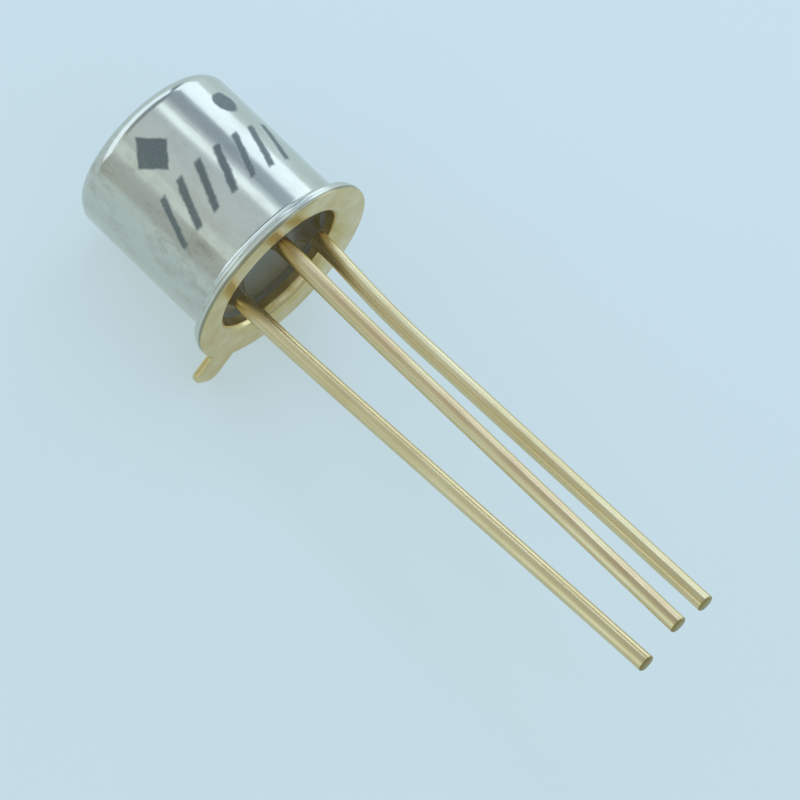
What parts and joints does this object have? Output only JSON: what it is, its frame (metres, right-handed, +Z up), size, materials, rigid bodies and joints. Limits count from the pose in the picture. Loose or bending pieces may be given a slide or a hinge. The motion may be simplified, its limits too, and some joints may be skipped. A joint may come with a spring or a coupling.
{
  "type": "metal can transistor",
  "caption": "Small metal-can transistor: closed nickel-plated cap on a gold-plated header with index tab, dark glass seal and long round wire leads, lying on its side.",
  "frame": {"origin": "on the surface it lies on, under the middle of the whole part's box", "axes": "+X is the way the leads point, seen from above; +Z is up; the index tab hangs on the -Y side and touches the surface, so the can and the leads lean up by about five degrees towards the lead tips"},
  "size_m": [0.0184, 0.0056, 0.0059],
  "materials": {
    "can_nickel": "drawn steel cap, dull electroplated nickel, smooth with faint drawing lines",
    "header_gold": "stamped header, thin pale gold plating over nickel",
    "lead_gold": "drawn wire, thin pale gold plating, satin",
    "seal_glass": "dark, opaque hard glass, fire polished",
    "preform_gold": "gold alloy foil, melted under the chip",
    "die_silicon": "sawn silicon, polished top",
    "bond_aluminium": "bare fine wire"
  },
  "bodies": {
    "root": {"can": "can_nickel", "header_shell": "header_gold", "glass_seal": "seal_glass", "emitter_lead": "lead_gold", "base_lead": "lead_gold", "collector_lead": "lead_gold", "die_preform": "preform_gold", "transistor_die": "die_silicon", "emitter_bond_wire": "bond_aluminium", "base_bond_wire": "bond_aluminium"}
  },
  "joints": []
}
